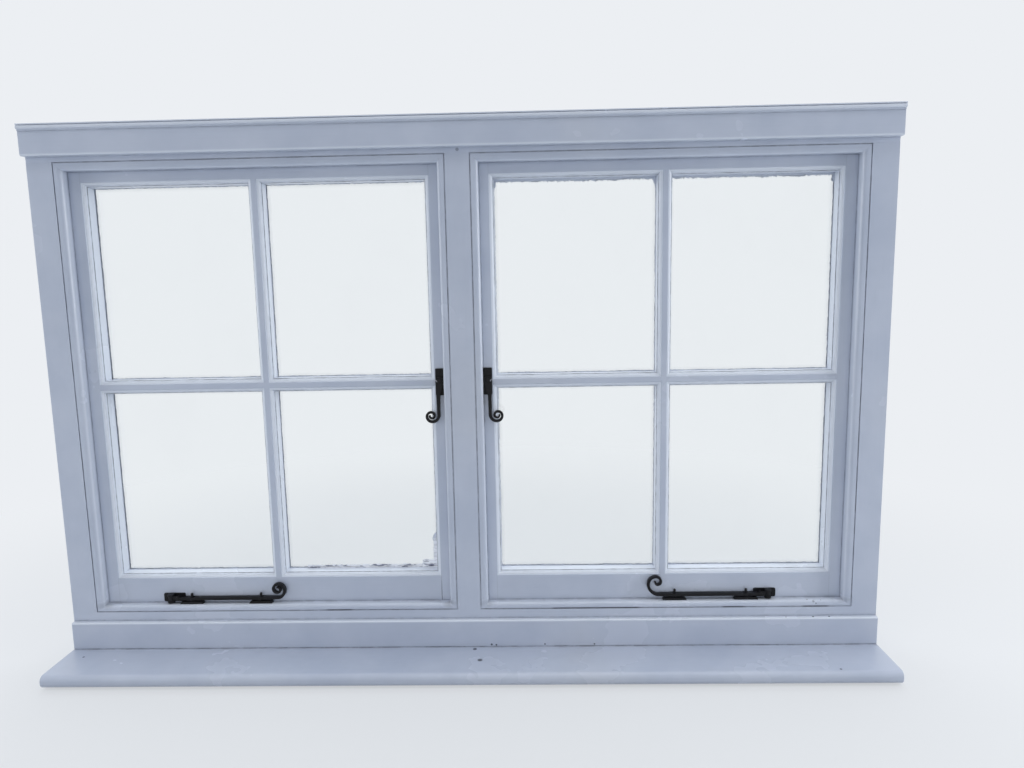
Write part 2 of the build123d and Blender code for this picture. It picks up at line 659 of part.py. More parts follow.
def stay_knuckle(side):
    """Swivel between the bracket's lugs, with a tongue for the arm's fork."""
    _, _, rivet, swivel = stay_places(side)
    low = arm_mid - KNUCKLE_H / 2
    body = rod((swivel, STAY_Y, low), (0, 0, 1), SWIVEL_BODY_R, KNUCKLE_H)
    trunnion = LUG_T + SEAT
    body += rod((swivel, STAY_Y, low - trunnion), (0, 0, 1), SWIVEL_R, KNUCKLE_H + 2 * trunnion)
    tongue_face = Pos(rivet, arm_mid) * Circle(KNUCKLE_H / 2)
    tongue_face += Pos((rivet + swivel) / 2, arm_mid) * Rectangle(swivel - rivet, KNUCKLE_H)
    body += upright_slab(tongue_face, STAY_Y - TONGUE_W / 2, STAY_Y + TONGUE_W / 2)
    return body - rod((rivet, 0, arm_mid), (0, 1, 0), RIVET_R + RUNNING, 2 * STAY_Y)


def bracket_screws(side):
    outer = stay_places(side)[3] + BRACKET_OVERHANG
    places = (outer - BRACKET_L + BRACKET_SCREW_IN, outer - BRACKET_SCREW_IN)
    return [((x, face_y - BRACKET_T, arm_mid), (0, 1, 0)) for x in places]


def stay_bracket(side):
    """Plate on the bottom rail with two lugs that hold the knuckle's swivel."""
    swivel = stay_places(side)[3]
    outer = swivel + BRACKET_OVERHANG
    reach = KNUCKLE_H / 2 + LUG_T + SEAT
    foot = arm_mid - reach
    top = arm_mid + reach
    face = Pos(outer - BRACKET_L / 2, arm_mid) * RectangleRounded(BRACKET_L, 2 * reach, BRACKET_CORNER_R)
    plate = upright_slab(face, face_y - BRACKET_T, face_y)
    lug = Pos(swivel, STAY_Y) * Circle(LUG_R)
    lug += Pos(swivel, (STAY_Y + face_y) / 2) * Rectangle(2 * LUG_R, face_y - STAY_Y)
    for low in (foot, top - LUG_T):
        plate += flat_slab(lug, low, low + LUG_T)
    bore_start = (swivel, STAY_Y, foot - PROUD)
    plate -= rod(bore_start, (0, 0, 1), SWIVEL_R + RUNNING, 2 * (reach + PROUD))
    for place in bracket_screws(side):
        plate -= screw_hole(*place)
    return plate


def backplate_screws():
    heights = (fastener_z + PLATE_UP - PLATE_SCREW_IN, fastener_z - PLATE_DOWN + PLATE_SCREW_IN)
    return [((FASTENER_X, plate_front, z), (0, 1, 0)) for z in heights]


def fastener_backplate():
    """Plate on the lock stile that carries the handle."""
    middle = fastener_z + (PLATE_UP - PLATE_DOWN) / 2
    face = Pos(FASTENER_X, middle) * RectangleRounded(PLATE_W, PLATE_UP + PLATE_DOWN, PLATE_CORNER_R)
    plate = upright_slab(face, plate_front, face_y)
    plate -= rod((FASTENER_X, 0, fastener_z), (0, 1, 0), PIVOT_R + RUNNING, face_y + PROUD)
    for place in backplate_screws():
        plate -= screw_hole(*place)
    return plate


def fastener_handle():
    """Boss with a square nose for the keep and a tail drawn down into a scroll."""
    tail_x = FASTENER_X + TAIL_SHIFT
    tail_end = fastener_z - TAIL_L
    shoulder = fastener_z - TAIL_WIDE_L
    half = TAIL_W / 2
    slim = HANDLE_BAR / 2
    face = Pos(FASTENER_X, fastener_z) * Circle(BOSS_R)
    face += Pos(FASTENER_X - NOSE_L / 2, fastener_z) * Rectangle(NOSE_L, NOSE_H)
    face += make_face(Polyline((FASTENER_X - BOSS_R, fastener_z), (FASTENER_X + BOSS_R, fastener_z),
                               (tail_x + half, shoulder), (tail_x + slim, tail_end),
                               (tail_x - slim, tail_end), (tail_x - half, shoulder), close=True))
    centre = (tail_x + HANDLE_CURL_R, tail_end)
    face += scroll(centre, 180, 1, HANDLE_CURL_R, HANDLE_CURL_RATIO, HANDLE_CURL_DEG,
                   HANDLE_BAR, HANDLE_TIP)
    handle = upright_slab(face, handle_front, handle_back)
    return handle - rod((FASTENER_X, 0, fastener_z), (0, 1, 0), PIVOT_R + RUNNING, face_y)


def fastener_pivot():
    """Rivet with a domed head on the room side."""
    front = handle_front - RUNNING
    shank = rod((FASTENER_X, front, fastener_z), (0, 1, 0), PIVOT_R, face_y - front)
    head = rod((FASTENER_X, front, fastener_z), (0, -1, 0), PIVOT_HEAD_R, PIVOT_HEAD_T)
    dome = head.edges().filter_by(GeomType.CIRCLE).sort_by(Axis.Y)[0]
    return shank + fillet(dome, PIVOT_ROUND)


def keep_slot(deep):
    """The room the nose needs in the mullion's lip, closed and while it turns down and out."""
    sweep = math.hypot(NOSE_L, NOSE_H / 2)
    gap = FASTENER_X - mullion_lip
    low = fastener_z - math.sqrt(sweep ** 2 - gap ** 2) - SLOT_SLACK
    top = fastener_z + NOSE_H / 2 + SLOT_SLACK
    return block((FASTENER_X - sweep - SLOT_SLACK, handle_front - SLOT_SLACK, low),
                 (mullion_lip + deep, handle_back + SLOT_SLACK, top))


def keep_body(slack=0.0):
    """The keep's strip before it is slotted, or with slack its housing."""
    half = KEEP_W / 2 + slack
    low = fastener_z - KEEP_DOWN - slack
    top = fastener_z + KEEP_UP + slack
    return block((mullion_lip - KEEP_T - slack, keep_y - half, low),
                 (mullion_lip + slack, keep_y + half, top))


def keep_screws():
    heights = (fastener_z + KEEP_UP - KEEP_SCREW_IN, fastener_z - KEEP_DOWN + KEEP_SCREW_IN)
    return [((mullion_lip, keep_y, z), (-1, 0, 0)) for z in heights]


def fastener_keep():
    """Slotted strip let into the side of the mullion's lip."""
    keep = keep_body() - keep_slot(PROUD)
    for place in keep_screws():
        keep -= screw_hole(*place, KEEP_SCREW_L)
    return keep


def frame_posts(sill, head):
    """Jamb and mullion with their housings for leaves, keeps and screws."""
    jamb = frame_jamb(sill, head)
    for foot in hinge_feet:
        jamb -= leaf_housing(foot, True)
        for place in leaf_screws(foot, True):
            jamb -= screw_hole(*place)
    slot = keep_slot(0) + keep_body(LEAF_SLACK)
    for place in keep_screws():
        slot += screw_hole(*place, KEEP_SCREW_L)
    return jamb, frame_mullion(sill, head) - slot - mirror(slot, about=Plane.YZ)


def bored_casement_wood():
    """The casement's members, cut for what both casements carry in the same place."""
    wood = casement_wood()
    for foot in hinge_feet:
        wood["hinge_stile"] -= leaf_housing(foot, False)
        for place in leaf_screws(foot, False):
            wood["hinge_stile"] -= screw_hole(*place)
    for place in backplate_screws():
        wood["lock_stile"] -= screw_hole(*place)
    return wood


def hinge_nodes():
    """Both hinges of the right casement: leaves, pins and where their screws go."""
    leaves = {}
    screws = {}
    for of_frame, name in ((True, "hinge_frame_leaves"), (False, "hinge_casement_leaves")):
        leaves[name] = []
        screws[name] = [place for foot in hinge_feet for place in leaf_screws(foot, of_frame)]
        for foot in hinge_feet:
            leaf = hinge_leaf(foot, of_frame)
            for place in leaf_screws(foot, of_frame):
                leaf -= screw_hole(*place)
            leaves[name].append(leaf)
    leaves["hinge_pins"] = [hinge_pin(foot) for foot in hinge_feet]
    return {name: Compound(shapes) for name, shapes in leaves.items()}, screws


def stay_nodes(side):
    """One stay, its two pin plates and where their screws go."""
    far, near, _, _ = stay_places(side)
    nodes = {"stay_bracket": stay_bracket(side), "stay_knuckle": stay_knuckle(side),
             "stay_arm": stay_arm(side), "stay_rivet": stay_rivet(side),
             "far_pin_plate": pin_plate(far), "near_pin_plate": pin_plate(near)}
    return nodes, pin_plate_screws(far) + pin_plate_screws(near)


def build_nodes():
    """Every piece of the window by its node's name."""
    sill = frame_sill()
    head = frame_head()
    jamb, mullion = frame_posts(sill, head)
    wood = bored_casement_wood()
    hinges, leaf_places = hinge_nodes()
    nodes = {"frame_head": head, "mullion": mullion, "window_board": window_board(),
             "sill_upstand": sill_upstand(), "head_fascia": head_fascia()}
    frame_screws = []
    for side in ("left", "right"):
        stay, plate_places = stay_nodes(side)
        pieces = {**wood, **hinges, **stay}
        for place in bracket_screws(side):
            pieces["bottom_rail"] = pieces["bottom_rail"] - screw_hole(*place)
        for name, opening in openings().items():
            pieces[f"pane_{name}"] = pane(*opening)
        pieces["putty"] = Compound([putty_ring(*opening) for opening in openings().values()])
        pieces["fastener_backplate"] = fastener_backplate()
        pieces["fastener_handle"] = fastener_handle()
        pieces["fastener_pivot"] = fastener_pivot()
        pieces["fastener_keep"] = fastener_keep()
        casement_places = leaf_places["hinge_casement_leaves"] + bracket_screws(side) + backplate_screws()
        pieces["casement_screws"] = Compound([screw(*place) for place in casement_places])

        screws = [screw(*place) for place in leaf_places["hinge_frame_leaves"] + plate_places]
        screws += [screw(*place, KEEP_SCREW_L) for place in keep_screws()]
        frame_screws += [on_side(side, shape) for shape in screws]
        for place in plate_places:
            sill -= on_side(side, screw_hole(*place))
        nodes[f"jamb_{side}"] = on_side(side, jamb)
        for name, piece in pieces.items():
            nodes[f"{side}_{name}"] = on_side(side, piece)
    nodes["frame_sill"] = sill
    nodes["frame_screws"] = Compound(frame_screws)
    return nodes


os.makedirs("parts", exist_ok=True)
for node, shape in build_nodes().items():
    export_step(shape, f"parts/{node}.step")
    print(node, len(shape.solids()), "solids", round(shape.volume), "mm3")
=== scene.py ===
import json
import math

import bpy
from mathutils import Matrix, Vector

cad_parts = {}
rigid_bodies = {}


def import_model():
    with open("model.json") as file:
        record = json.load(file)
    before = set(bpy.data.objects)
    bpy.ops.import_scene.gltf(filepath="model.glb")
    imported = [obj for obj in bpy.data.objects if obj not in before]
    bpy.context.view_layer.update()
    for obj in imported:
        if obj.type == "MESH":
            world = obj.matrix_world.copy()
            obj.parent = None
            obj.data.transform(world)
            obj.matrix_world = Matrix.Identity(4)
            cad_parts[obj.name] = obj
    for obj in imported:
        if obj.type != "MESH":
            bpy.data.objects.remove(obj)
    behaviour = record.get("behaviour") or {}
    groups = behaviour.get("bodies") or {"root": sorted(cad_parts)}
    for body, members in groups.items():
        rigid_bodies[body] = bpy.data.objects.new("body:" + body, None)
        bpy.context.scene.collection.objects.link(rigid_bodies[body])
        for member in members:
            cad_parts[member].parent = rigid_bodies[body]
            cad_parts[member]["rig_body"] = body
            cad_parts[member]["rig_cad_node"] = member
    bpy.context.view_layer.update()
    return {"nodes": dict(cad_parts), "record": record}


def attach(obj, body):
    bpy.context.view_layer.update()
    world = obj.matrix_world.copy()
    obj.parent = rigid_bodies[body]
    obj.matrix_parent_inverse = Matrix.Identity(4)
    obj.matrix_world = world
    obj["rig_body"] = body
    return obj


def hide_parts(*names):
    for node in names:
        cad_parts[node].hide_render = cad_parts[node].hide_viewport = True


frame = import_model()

# Two-light casement window: painted joinery, old glass, puttied panes and black iron fittings.
# Metres, +X to the right seen from the room, +Y outwards, +Z up.

SIDES = ("left", "right")
TURNED = {"left": -1, "right": 1}

# Lines of the joinery that the finishes follow, as distances from the middle, heights or depths
MULLION_LIP = 0.0390
MULLION_QUIRK = 0.0244
JAMB_LIP = 0.7595
JAMB_QUIRK = 0.7741
SILL_LIP = 0.1163
SILL_QUIRK = 0.1050
HEAD_LIP = 0.9944
HEAD_QUIRK = 1.0090
FASCIA_FOOT = 1.0200
FASCIA_BEAD = 1.0650
BOARD_TOP = 0.0280
UPSTAND_TOP = 0.0850
UPSTAND_FACE = -0.0100
CASEMENT_FACE = 0.0205
GLASS_FACE = 0.0505
WEATHERED_FROM = 0.0520
HINGE_FLAT = 0.7365
LOCK_FLAT = 0.0575
STILE_SIGHTS = (0.0665, 0.3835, 0.4105, 0.7275)
RAIL_SIGHTS = (0.1763, 0.5576, 0.5846, 0.9659)

FRAME_WOOD = ("frame_head", "frame_sill", "jamb_left", "jamb_right", "mullion")
LININGS = ("head_fascia", "sill_upstand", "window_board")
CASEMENT_WOOD = ("hinge_stile", "lock_stile", "top_rail", "bottom_rail", "upright_bar", "cross_bar")
PANES = ("pane_upper_outer", "pane_upper_inner", "pane_lower_outer", "pane_lower_inner")
STEEL = ("hinge_frame_leaves", "hinge_casement_leaves", "hinge_pins")
CRISP_IRON = ("stay_bracket", "stay_knuckle")
SOFT_IRON = ("stay_arm", "far_pin_plate", "near_pin_plate", "fastener_backplate", "fastener_handle")
BARE_IRON = ("stay_rivet", "fastener_pivot", "fastener_keep")
UPRIGHT_WOOD = ("jamb_left", "jamb_right", "mullion", "hinge_stile", "lock_stile", "upright_bar")

# How far paint has rounded the arrises of each kind of piece
FRAME_EASE = 0.0007
LINING_EASE = 0.0012
CASEMENT_EASE = 0.0003
SOFT_IRON_EASE = 0.0005
CRISP_IRON_EASE = 0.0002

# Screws: the foot of each butt, its screws as depth and height over that foot, and the others' places
HINGE_FEET = (0.2198, 0.8164)
LEAF_SCREWS = ((0.0557, 0.0125), (0.0453, 0.0375), (0.0557, 0.0625))
FRAME_LEAF = 0.7707
CASEMENT_LEAF = 0.7703
SWIVELS = {"left": 0.624, "right": 0.611}
PEGS_FROM_SWIVEL = (0.045, 0.190)
PEG_PLATE_SCREWS = (-0.016, 0.016)
PEG_PLATE_AT = (0.0128, 0.1213)
KEEP_AT = (0.0390, 0.0145)
KEEP_SCREWS = (0.5950, 0.5310)
BRACKET_SCREWS = (-0.0215, 0.0105)
BRACKET_AT = (0.0179, 0.1275)
BACKPLATE_AT = (0.0480, 0.0181)
BACKPLATE_SCREWS = (0.5935, 0.5525)
LONG_SCREW = 0.0110
SHORT_SCREW = 0.0077

# Marks of wear and a painted glint, each as x, y, z and reach
FASCIA_CHIPS = ((0.0012, 0.0, 1.0160, 0.0040),)
SILL_DABS = (
    (0.6994, 0.0025, 0.1140, 0.0032),
    (0.6880, 0.0068, 0.1160, 0.0024),
    (0.7040, 0.0006, 0.1108, 0.0022),
    (0.7150, 0.0050, 0.1156, 0.0016),
)
BOARD_CHIPS = (
    (0.0242, -0.0635, BOARD_TOP, 0.0062),
    (0.0110, -0.0200, BOARD_TOP, 0.0052),
    (-0.7850, -0.0420, BOARD_TOP, 0.0028),
    (0.7126, -0.1050, BOARD_TOP, 0.0030),
)
UPSTAND_EDGE_CHIPS = (
    (0.6971, -0.0050, UPSTAND_TOP, 0.0028),
    (0.7295, -0.0045, UPSTAND_TOP, 0.0026),
    (0.6424, -0.0060, UPSTAND_TOP, 0.0020),
)
UPSTAND_FOOT_CHIPS = (
    (0.0448, UPSTAND_FACE, 0.0325, 0.0028),
    (0.0544, UPSTAND_FACE, 0.0315, 0.0024),
    (0.1540, UPSTAND_FACE, 0.0325, 0.0022),
    (0.2550, UPSTAND_FACE, 0.0320, 0.0022),
)
PAINT_ON_GLASS = ((-0.0665, GLASS_FACE, 0.2350, 0.0200), (-0.0665, GLASS_FACE, 0.1800, 0.0240))
# A painted glint: a short bright streak beside each fastener's pivot
GLINT_STREAK = tuple((side * (0.0530 + step), 0.0129, 0.5745 + step, 0.0015)
                     for side in (-1, 1) for step in (0, 0.0014, 0.0028))

# Where the sill's sunk line has opened, as stretches along x
SILL_GAPS = ((0.165, 0.352), (0.510, 0.566), (0.672, 0.735), (-0.30, -0.235))

# Strips of loose paint on the left casement: name, lower and upper corner in x and z, and wrinkle
LOOSE_STRIPS = (
    ("loose_paint_low", (-0.345, 0.1755), (-0.068, 0.1828), 0.0034),
    ("loose_paint_corner", (-0.100, 0.1765), (-0.068, 0.1925), 0.0044),
    ("loose_paint_stile", (-0.0765, 0.1860), (-0.0680, 0.2380), 0.0030),
)
STRIP_DEPTH = 0.0488
STRIP_CELL = 0.0012
STRIP_THICK = 0.0004

# The camera: its place, how it was held, and its focal length in pixels of the picture's width
EYE = (0.1305, -1.3892, 0.7569)
YAW, PITCH, ROLL = (math.radians(angle) for angle in (-1.411, 7.699, -1.087))
FOCAL_PIXELS = 714.9
PICTURE_PIXELS = 1024
SENSOR_MM = 36.0


# Finishes

class Wire:
    """One value of a finish, which sums and masks can be written with."""

    def __init__(self, finish, socket):
        self.finish = finish
        self.socket = socket

    def maths(self, operation, *others):
        return self.finish.node("ShaderNodeMath", {"operation": operation},
                                dict(enumerate((self, *others))))

    def __add__(self, other):
        return self.maths("ADD", other)

    def __sub__(self, other):
        return self.maths("SUBTRACT", other)

    def __rsub__(self, other):
        return (self * -1) + other

    def __mul__(self, other):
        return self.maths("MULTIPLY", other)

    def __pow__(self, other):
        return self.maths("POWER", other)

    def __abs__(self):
        return self.maths("ABSOLUTE")

    __radd__ = __add__
    __rmul__ = __mul__

    def or_less(self, other):
        return self.maths("MINIMUM", other)

    def or_more(self, other):
        return self.maths("MAXIMUM", other)

    def rises(self, low, high):
        """0 below low, 1 above high, and smooth between."""
        ends = {"From Min": low, "From Max": high, "To Min": 0.0, "To Max": 1.0}
        if low > high:
            ends = {"From Min": high, "From Max": low, "To Min": 1.0, "To Max": 0.0}
        return self.finish.node("ShaderNodeMapRange", {"interpolation_type": "SMOOTHSTEP"},
                                {"Value": self, **ends})

    def near(self, place, reach):
        """1 at a place, fading to 0 at a reach from it."""
        return abs(self - place).rises(reach, 0.0)


class Nodes:
    """A node tree, cleared, and what adds nodes to it."""

    def __init__(self, owner, source):
        owner.use_nodes = True
        self.tree = owner.node_tree
        self.tree.nodes.clear()
        self.place = self.node("ShaderNodeTexCoord", output=source)
        self.x, self.y, self.z = (self.node("ShaderNodeSeparateXYZ", {}, {0: self.place}, output=axis)
                                  for axis in "XYZ")

    def seen(self):
        """1 for rays that show the surface: straight to the camera, in a gloss or through glass."""
        paths = [self.node("ShaderNodeLightPath", output=f"Is {kind} Ray")
                 for kind in ("Camera", "Glossy", "Transmission")]
        return paths[0].or_more(paths[1]).or_more(paths[2])

    def node(self, kind, settings=None, inputs=None, output=0):
        """Adds a node, its settings first, and gives one of its outputs."""
        made = self.tree.nodes.new(kind)
        for name, value in (settings or {}).items():
            setattr(made, name, value)
        for name, value in (inputs or {}).items():
            if isinstance(value, Wire):
                self.tree.links.new(value.socket, made.inputs[name])
            else:
                made.inputs[name].default_value = value
        return Wire(self, made.outputs[output])

    def blend(self, share, first, second):
        """The first colour where share is 0, the second where it is 1."""
        return self.node("ShaderNodeMix", {"data_type": "RGBA", "clamp_factor": True},
                         {0: share, 6: first, 7: second}, output=2)

    def mixed(self, share, first, second):
        """The first shader where share is 0, the second where it is 1."""
        return self.node("ShaderNodeMixShader", {}, {0: share, 1: first, 2: second})

    def ends_in(self, kind, surface):
        end = self.tree.nodes.new(kind)
        self.tree.links.new(surface.socket, end.inputs["Surface"])


class Finish(Nodes):
    """A material and the nodes that make it."""

    def __init__(self, name):
        self.material = bpy.data.materials.new(name)
        super().__init__(self.material, "Object")

    def stretched(self, x, y, z, moved=(0, 0, 0)):
        """The piece's own coordinates, scaled along each axis."""
        return self.node("ShaderNodeMapping", {"vector_type": "POINT"},
                         {"Vector": self.place, "Location": moved, "Scale": (x, y, z)})

    def noise(self, scale, detail=4.0, roughness=0.55, at=None):
        return self.node("ShaderNodeTexNoise", {}, {"Vector": at or self.place, "Scale": scale,
                                                    "Detail": detail, "Roughness": roughness})

    def cells(self, scale, feature="F1", at=None):
        return self.node("ShaderNodeTexVoronoi", {"feature": feature},
                         {"Vector": at or self.place, "Scale": scale}, output="Distance")

    def bump(self, height, distance, strength=1.0):
        return self.node("ShaderNodeBump", {}, {"Height": height, "Distance": distance,
                                                "Strength": strength})

    def apart(self, spot):
        """How far the surface is from a spot."""
        return self.node("ShaderNodeVectorMath", {"operation": "DISTANCE"},
                         {0: self.place, 1: spot}, output="Value")

    def body(self, **inputs):
        named = {name.replace("_", " "): value for name, value in inputs.items()}
        return self.node("ShaderNodeBsdfPrincipled", {}, named)

    def done(self, surface):
        self.ends_in("ShaderNodeOutputMaterial", surface)
        return self.material


def rgb(red, green, blue):
    """A colour given in the 0 to 255 of a paint chart, as the shaders count."""
    def straight(level):
        share = level / 255
        return share / 12.92 if share <= 0.04045 else ((share + 0.055) / 1.055) ** 2.4
    return straight(red), straight(green), straight(blue), 1.0


AGED_WHITE = rgb(172, 181, 199)
AGED_LIGHT = rgb(190, 197, 211)
AGED_GREY = rgb(154, 164, 184)
# Painted highlight: the moulded edges lighter, as light from outside catches them
HIGHLIGHT_WHITE = rgb(208, 215, 227)
YELLOWED = rgb(178, 180, 182)
# Dirt and painted shade in sunk lines, gaps and joints
GRIME_AND_SHADE = rgb(70, 72, 82)
DUST = rgb(112, 108, 104)
PUTTY_BARE = rgb(150, 142, 128)
CRACK = rgb(44, 46, 56)
STUDIO = rgb(236, 239, 243)
FLOOR = rgb(196, 199, 203)
CHALK = rgb(206, 208, 208)
ALGAE = rgb(92, 98, 74)
GLASS_DUST = rgb(186, 191, 198)
GLASS_CLEAR = (0.985, 0.992, 0.988, 1.0)
GLASS_GLOSS = (0.95, 0.97, 1.0, 1.0)
SKIN_LIGHT = rgb(226, 230, 238)
# Painted shade in the creases of the loose paint skin
SKIN_CREASE_SHADE = rgb(112, 118, 136)
IRON_DARK = rgb(7, 7, 10)
IRON_LIGHT = rgb(15, 15, 20)
IRON_RUBBED = rgb(62, 58, 56)
# Painted glint on the fastener handles
IRON_GLINT = rgb(150, 152, 160)
BARE_STEEL = rgb(120, 116, 112)
RUST = rgb(112, 72, 48)
SKY = (0.94, 0.97, 1.0, 1.0)
WHITE_LIGHT = (1.0, 1.0, 1.0)
WARM_LIGHT = (1.0, 0.99, 0.98)


def nearest(value, places):
    """How far a value is from the nearest of some places."""
    gap = abs(value - places[0])
    for place in places[1:]:
        gap = gap.or_less(abs(value - place))
    return gap


def gloss_paint(name, along, grime_and_shade_lines, highlights, cracks):
    """Many coats of brushed white gloss, its strokes along one axis, with dirt and painted shade in its
    sunk lines.

    grime_and_shade_lines, highlights and cracks take the finish and give a mask each, from 0 to 1.
    The moulded edges are painted nearly white as a painted highlight; the flats keep the aged paint."""
    f = Finish(name)
    fine = {"x": (12, 700, 700), "z": (700, 700, 12)}[along]
    broad = {"x": (3, 120, 120), "z": (120, 120, 3)}[along]
    strokes = f.noise(1.0, 2.0, 0.5, f.stretched(*fine))
    ropes = f.noise(1.0, 1.0, 0.5, f.stretched(*broad))
    mottle = f.noise(5.0, 4.0, 0.6)
    nibs = f.cells(380.0).rises(0.30, 0.0) * mottle.rises(0.45, 0.70)

    colour = f.blend(mottle.rises(0.30, 0.70), AGED_GREY, AGED_LIGHT)
    colour = f.blend(0.70, colour, AGED_WHITE)
    aged = f.noise(2.3, 3.0, 0.55, f.stretched(1, 1, 1, (3.1, 1.7, 5.3)))
    colour = f.blend(aged.rises(0.54, 0.80) * 0.3, colour, YELLOWED)
    colour = f.blend(strokes.rises(0.52, 0.80) * 0.14, colour, AGED_GREY)
    # Painted highlight: the moulded edges turned nearly white
    colour = f.blend(highlights(f), colour, HIGHLIGHT_WHITE)

    patchy = f.noise(34.0, 3.0, 0.65)
    # Dirt and painted shade along the sunk lines, gaps and joints, patchy along their length
    grime_and_shade = grime_and_shade_lines(f) * (0.35 + patchy.rises(0.36, 0.62) * 0.65)
    colour = f.blend(grime_and_shade * 0.60, colour, GRIME_AND_SHADE)
    specks = f.cells(150.0).rises(0.10, 0.03) * f.noise(16.0, 1.0).rises(0.62, 0.68)
    colour = f.blend(specks * 0.6, colour, DUST)
    height = strokes * 0.35 + ropes + nibs * 0.05
    chalky = f.y.rises(WEATHERED_FROM, WEATHERED_FROM + 0.010) * f.noise(7.0, 5.0, 0.7).rises(0.46, 0.66)
    colour = f.blend(chalky * 0.35, colour, CHALK)
    splits = cracks(f)
    colour = f.blend(splits * 0.85, colour, CRACK)
    height = height - splits * 2.0
    rough = 0.20 + mottle * 0.12 + grime_and_shade * 0.3
    return f.done(f.body(Base_Color=colour, Roughness=rough, Normal=f.bump(height, 0.00014, 0.9)))


def spots(f, places):
    """Small marks, each at a place and with a reach."""
    mask = None
    for *place, reach in places:
        spot = f.apart(place).rises(reach, reach * 0.55)
        mask = spot if mask is None else mask.or_more(spot)
    return mask


def stretches(value, ends):
    """1 between each pair of ends along a value."""
    mask = None
    for low, high in ends:
        span = value.rises(low, low + 0.012) * value.rises(high, high - 0.012)
        mask = span if mask is None else mask.or_more(span)
    return mask


def frame_cracks(f):
    """Where the sill's sunk line has opened, dabs missing from its lip, and a chip under the fascia."""
    line = f.z.near(SILL_QUIRK, 0.0026) * f.y.rises(0.014, 0.008)
    line = line * stretches(f.x, SILL_GAPS)
    return line.or_more(spots(f, FASCIA_CHIPS + SILL_DABS) * 0.55)


def lining_cracks(f):
    """Chips through the paint of the board, the upstand's top edge and its foot."""
    return spots(f, BOARD_CHIPS + UPSTAND_EDGE_CHIPS + UPSTAND_FOOT_CHIPS)


def frame_grime_and_shade(f):
    """Dirt and painted shade in the sunk lines, behind the casements and where the linings meet."""
    side = abs(f.x)
    quirks = nearest(side, (MULLION_QUIRK, JAMB_QUIRK)).rises(0.0018, 0.0008)
    quirks = quirks * f.z.rises(SILL_QUIRK - 0.002, SILL_QUIRK)
    quirks = quirks * f.z.rises(HEAD_QUIRK + 0.002, HEAD_QUIRK)
    level = nearest(f.z, (SILL_QUIRK, HEAD_QUIRK)).rises(0.0018, 0.0008)
    level = level * side.rises(MULLION_QUIRK - 0.002, MULLION_QUIRK)
    level = level * side.rises(JAMB_QUIRK + 0.002, JAMB_QUIRK)
    # Painted shade with some dirt where the linings meet, in the corners of each light and on the sill's
    # lip behind the casements
    foot = f.z.near(UPSTAND_TOP, 0.006) * 0.5 + f.z.near(FASCIA_FOOT, 0.003) * 0.5
    corners = nearest(side, (MULLION_LIP, JAMB_LIP)).rises(0.026, 0.0) * f.z.near(SILL_LIP, 0.012) * 0.6
    shaded_lip = f.z.near(SILL_LIP, 0.004) * f.y.rises(0.008, 0.014) * 0.5
    lines = (quirks * 0.7).or_more(level * 0.7).or_more(foot).or_more(corners).or_more(shaded_lip)
    return lines * f.y.rises(0.024, 0.021)


def frame_highlights(f):
    """Painted highlight on the rounded lips around each light."""
    return f.y.rises(0.0006, 0.0050) * f.y.rises(0.0200, 0.0140) * 0.62


def lining_highlights(f):
    """Painted highlight on the fascia's bead and foot, and the upstand's top edge."""
    bead = f.z.rises(FASCIA_BEAD, FASCIA_BEAD + 0.005)
    edges = f.z.near(UPSTAND_TOP - 0.001, 0.004).or_more(f.z.near(FASCIA_FOOT + 0.001, 0.004))
    return (bead * 0.7).or_more(edges * 0.8)


def casement_highlights(f):
    """Painted highlight on the ovolos and the sides down to the glass."""
    return f.y.rises(CASEMENT_FACE + 0.0004, CASEMENT_FACE + 0.0016) * f.y.rises(0.060, 0.056) * 0.9


def lining_grime_and_shade(f):
    """Dust and painted shade along the upstand's foot and under the fascia's bead."""
    foot = f.z.near(BOARD_TOP, 0.003) * f.y.rises(UPSTAND_FACE - 0.008, UPSTAND_FACE) * 0.8
    bead = f.z.near(FASCIA_BEAD, 0.002) * 0.4
    return foot.or_more(bead)


def casement_shade(f):
    """Painted shade on the edges that shut, at the glass and in the sunk fillets of the ovolos."""
    side = abs(f.x)
    edges = nearest(side, (JAMB_LIP, MULLION_LIP)).rises(0.0035, 0.0)
    levels = nearest(f.z, (SILL_LIP, HEAD_LIP)).rises(0.0035, 0.0)
    at_glass = f.y.near(GLASS_FACE, 0.004) * 0.5
    # Painted shade in the sunk fillets, so the ovolo's steps read
    fillets = f.y.near(CASEMENT_FACE + 0.0042, 0.0008) * 0.5
    fillets = fillets.or_more(f.y.near(CASEMENT_FACE + 0.0086, 0.0008))
    shut = edges.or_more(levels) * f.y.rises(CASEMENT_FACE + 0.006, CASEMENT_FACE + 0.002)
    return (shut * 0.6).or_more(at_glass).or_more(fillets)


def joint_cracks(f):
    """Hairlines where rail and stile have moved under the paint."""
    wander = (f.noise(60.0, 2.0) - 0.5) * 0.0012
    side = abs(f.x) + wander
    shoulder = nearest(side, (HINGE_FLAT, LOCK_FLAT)).rises(0.0008, 0.0003)
    rails = f.z.rises(RAIL_SIGHTS[0] - 0.004, RAIL_SIGHTS[0] - 0.010)
    rails = rails + f.z.rises(RAIL_SIGHTS[3] + 0.004, RAIL_SIGHTS[3] + 0.010)
    worst = f.x.near(-LOCK_FLAT, 0.004) * f.z.rises(0.176, 0.128)
    return shoulder * rails * (0.14 + worst * 0.86)


